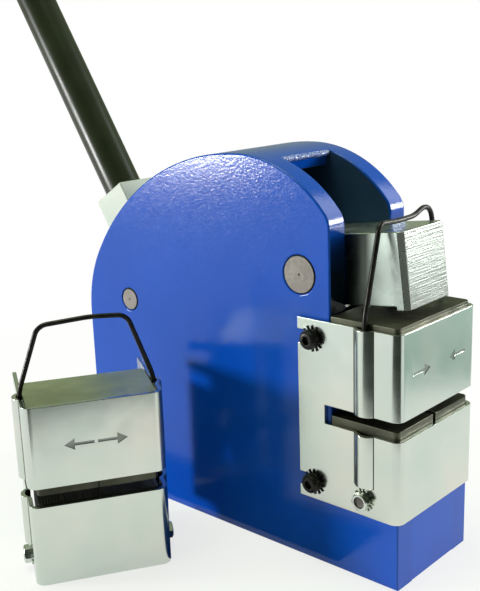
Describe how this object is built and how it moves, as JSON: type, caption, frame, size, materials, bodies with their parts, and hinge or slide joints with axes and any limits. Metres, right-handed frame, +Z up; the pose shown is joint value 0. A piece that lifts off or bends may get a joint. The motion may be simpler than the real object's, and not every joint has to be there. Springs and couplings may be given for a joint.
{
  "type": "bench shrinker stretcher",
  "caption": "Arched bench tool whose hand lever rocks a ram onto a cartridge of split jaws that shrink a sheet edge, with a second, loose cartridge that stretches it.",
  "frame": {"origin": "middle of the base's underside, on the surface that the tool stands on and midway between the bench bolt holes", "axes": "+X forward to the jaws, +Y to the tool's left-hand side, +Z up"},
  "size_m": [0.458, 0.176, 0.5448],
  "materials": {
    "blue_paint": "semi-gloss cobalt blue paint with a fine orange-peel texture",
    "pin_steel": "bare turned steel",
    "bronze": "bored bronze",
    "zinc": "clear zinc plating with a faint yellow-green cast",
    "handle_black": "gloss black",
    "grip_vinyl": "satin black vinyl",
    "black_oxide": "black oxide",
    "spring_steel": "drawn spring wire",
    "jaw_steel": "dark brown-black oxide on ground tool steel"
  },
  "bodies": {
    "body": {"right_side_plate": "blue_paint", "left_side_plate": "blue_paint", "roof_plate": "blue_paint", "rear_plate": "blue_paint", "base_plate": "blue_paint", "foot_block": "blue_paint", "ram_pin": "pin_steel", "lever_pin": "pin_steel", "lever_spacers": "pin_steel", "case_screws": "black_oxide", "case_screw_washers": "black_oxide", "shrinker_case": "zinc", "shrinker_lower_block": "jaw_steel", "shrinker_jaw_bolts": "zinc", "shrinker_bolt_washers": "zinc"},
    "lever": {"lever_block": "zinc", "handle_bar": "handle_black", "hand_grip": "grip_vinyl"},
    "ram": {"ram": "zinc", "ram_bush": "bronze"},
    "shrinker_press": {"shrinker_pressure_block": "jaw_steel", "shrinker_bail": "black_oxide"},
    "shrinker_upper_right": {"shrinker_upper_jaw_right": "jaw_steel", "shrinker_upper_spring": "spring_steel"},
    "shrinker_upper_left": {"shrinker_upper_jaw_left": "jaw_steel"},
    "shrinker_lower_right": {"shrinker_lower_jaw_right": "jaw_steel", "shrinker_lower_spring": "spring_steel"},
    "shrinker_lower_left": {"shrinker_lower_jaw_left": "jaw_steel"},
    "stretcher": {"stretcher_case": "zinc", "stretcher_lower_block": "jaw_steel", "stretcher_jaw_bolts": "zinc", "stretcher_bolt_washers": "zinc", "stretcher_lower_springs": "spring_steel"},
    "stretcher_press": {"stretcher_pressure_block": "jaw_steel", "stretcher_bail": "black_oxide", "stretcher_upper_springs": "spring_steel"},
    "stretcher_upper_right": {"stretcher_upper_jaw_right": "jaw_steel"},
    "stretcher_upper_left": {"stretcher_upper_jaw_left": "jaw_steel"},
    "stretcher_lower_right": {"stretcher_lower_jaw_right": "jaw_steel"},
    "stretcher_lower_left": {"stretcher_lower_jaw_left": "jaw_steel"}
  },
  "joints": [
    {"name": "lever_swing", "type": "hinge", "parent": "body", "child": "lever", "pos_m": [-0.0718, 0, 0.117], "axis": [0, -1, 0], "range_deg": [0, 50]},
    {"name": "ram_rock", "type": "hinge", "parent": "body", "child": "ram", "pos_m": [0.0512, 0, 0.1476], "axis": [0, 1, 0], "range_deg": [0, 9.95]},
    {"name": "shrinker_press_slide", "type": "slide", "parent": "body", "child": "shrinker_press", "axis": [0, 0, -1], "range_m": [0, 0.0044]},
    {"name": "shrinker_upper_right_slide", "type": "slide", "parent": "shrinker_press", "child": "shrinker_upper_right", "axis": [0, 0.8192, 0.5736], "range_m": [0, 0.0011]},
    {"name": "shrinker_upper_left_slide", "type": "slide", "parent": "shrinker_press", "child": "shrinker_upper_left", "axis": [0, -0.8192, 0.5736], "range_m": [0, 0.0011], "deforming": ["shrinker_upper_spring"]},
    {"name": "shrinker_lower_right_slide", "type": "slide", "parent": "body", "child": "shrinker_lower_right", "axis": [0, 0.8192, -0.5736], "range_m": [0, 0.0011]},
    {"name": "shrinker_lower_left_slide", "type": "slide", "parent": "body", "child": "shrinker_lower_left", "axis": [0, -0.8192, -0.5736], "range_m": [0, 0.0011], "deforming": ["shrinker_lower_spring"]},
    {"name": "stretcher_lift", "type": "slide", "parent": "body", "child": "stretcher", "axis": [0, 0, 1], "range_m": [0, 0.12]},
    {"name": "stretcher_press_slide", "type": "slide", "parent": "stretcher", "child": "stretcher_press", "axis": [0, 0, -1], "range_m": [0, 0.0042]},
    {"name": "stretcher_upper_right_slide", "type": "slide", "parent": "stretcher_press", "child": "stretcher_upper_right", "axis": [-0.4268, -0.6992, 0.5736], "range_m": [0, 0.00146]},
    {"name": "stretcher_upper_left_slide", "type": "slide", "parent": "stretcher_press", "child": "stretcher_upper_left", "axis": [0.4268, 0.6992, 0.5736], "range_m": [0, 0.00146], "deforming": ["stretcher_upper_springs"]},
    {"name": "stretcher_lower_right_slide", "type": "slide", "parent": "stretcher", "child": "stretcher_lower_right", "axis": [-0.4268, -0.6992, -0.5736], "range_m": [0, 0.00146]},
    {"name": "stretcher_lower_left_slide", "type": "slide", "parent": "stretcher", "child": "stretcher_lower_left", "axis": [0.4268, 0.6992, -0.5736], "range_m": [0, 0.00146], "deforming": ["stretcher_lower_springs"]}
  ],
  "couplings": [
    {"joint": "ram_rock", "follows": "lever_swing", "ratio": 0.199},
    {"joint": "shrinker_press_slide", "follows": "lever_swing", "m_per_rad": 0.005042},
    {"joint": "shrinker_upper_right_slide", "follows": "lever_swing", "m_per_rad": 0.0012605},
    {"joint": "shrinker_upper_left_slide", "follows": "lever_swing", "m_per_rad": 0.0012605},
    {"joint": "shrinker_lower_right_slide", "follows": "lever_swing", "m_per_rad": 0.0012605},
    {"joint": "shrinker_lower_left_slide", "follows": "lever_swing", "m_per_rad": 0.0012605},
    {"joint": "stretcher_upper_right_slide", "follows": "stretcher_press_slide", "ratio": 0.34762},
    {"joint": "stretcher_upper_left_slide", "follows": "stretcher_press_slide", "ratio": 0.34762},
    {"joint": "stretcher_lower_right_slide", "follows": "stretcher_press_slide", "ratio": 0.34762},
    {"joint": "stretcher_lower_left_slide", "follows": "stretcher_press_slide", "ratio": 0.34762}
  ]
}
